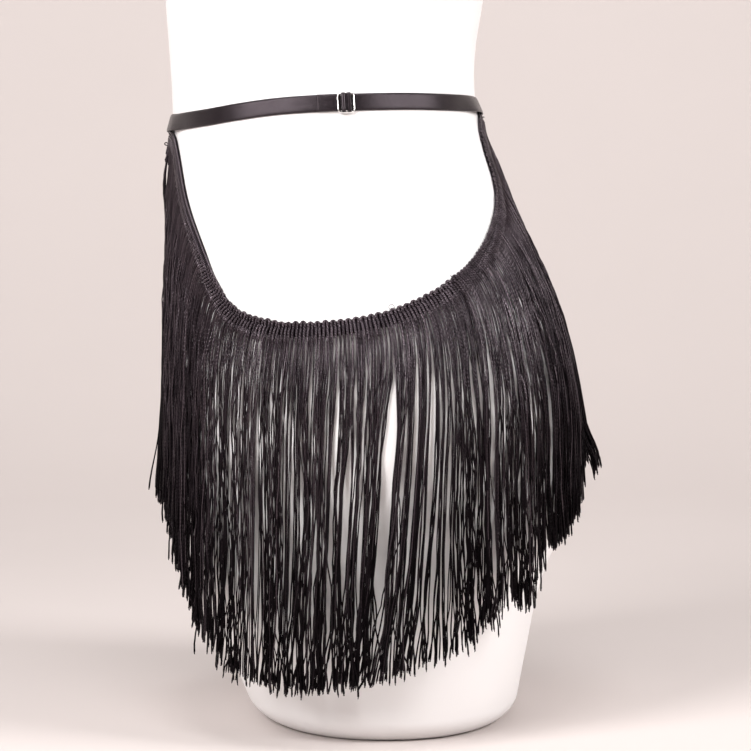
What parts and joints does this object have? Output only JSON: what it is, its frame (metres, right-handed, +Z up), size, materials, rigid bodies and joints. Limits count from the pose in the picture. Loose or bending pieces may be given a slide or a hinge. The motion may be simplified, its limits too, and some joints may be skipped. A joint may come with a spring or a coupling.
{
  "type": "fringe overskirt on a dress form",
  "caption": "Black hip fringe on a narrow adjustable waist strap, dipping over each hip, worn on a smooth limbless dress form that stands on its flat foot.",
  "frame": {"origin": "middle of the dress form's flat foot, on the surface that it stands on", "axes": "+Z up; the form faces -Y; its left hip, with the strap's slider, is towards +X"},
  "size_m": [0.3336, 0.265, 0.478],
  "materials": {
    "form": "smooth white semi-gloss lacquer",
    "elastic": "black satin-faced elastic tape with fine lengthwise ribs",
    "metal": "plated wire slider",
    "trim": "black crocheted rayon braid with a looped top edge",
    "strand": "black chainette cord with a soft sheen"
  },
  "bodies": {
    "root": {"form": "form", "strap": "elastic", "strap_tail": "elastic", "slider": "metal", "trim_left_front": "trim", "trim_left_back": "trim", "trim_right_front": "trim", "trim_right_back": "trim", "fringe_left_front": "strand", "fringe_left_back": "strand", "fringe_right_front": "strand", "fringe_right_back": "strand"}
  },
  "joints": []
}
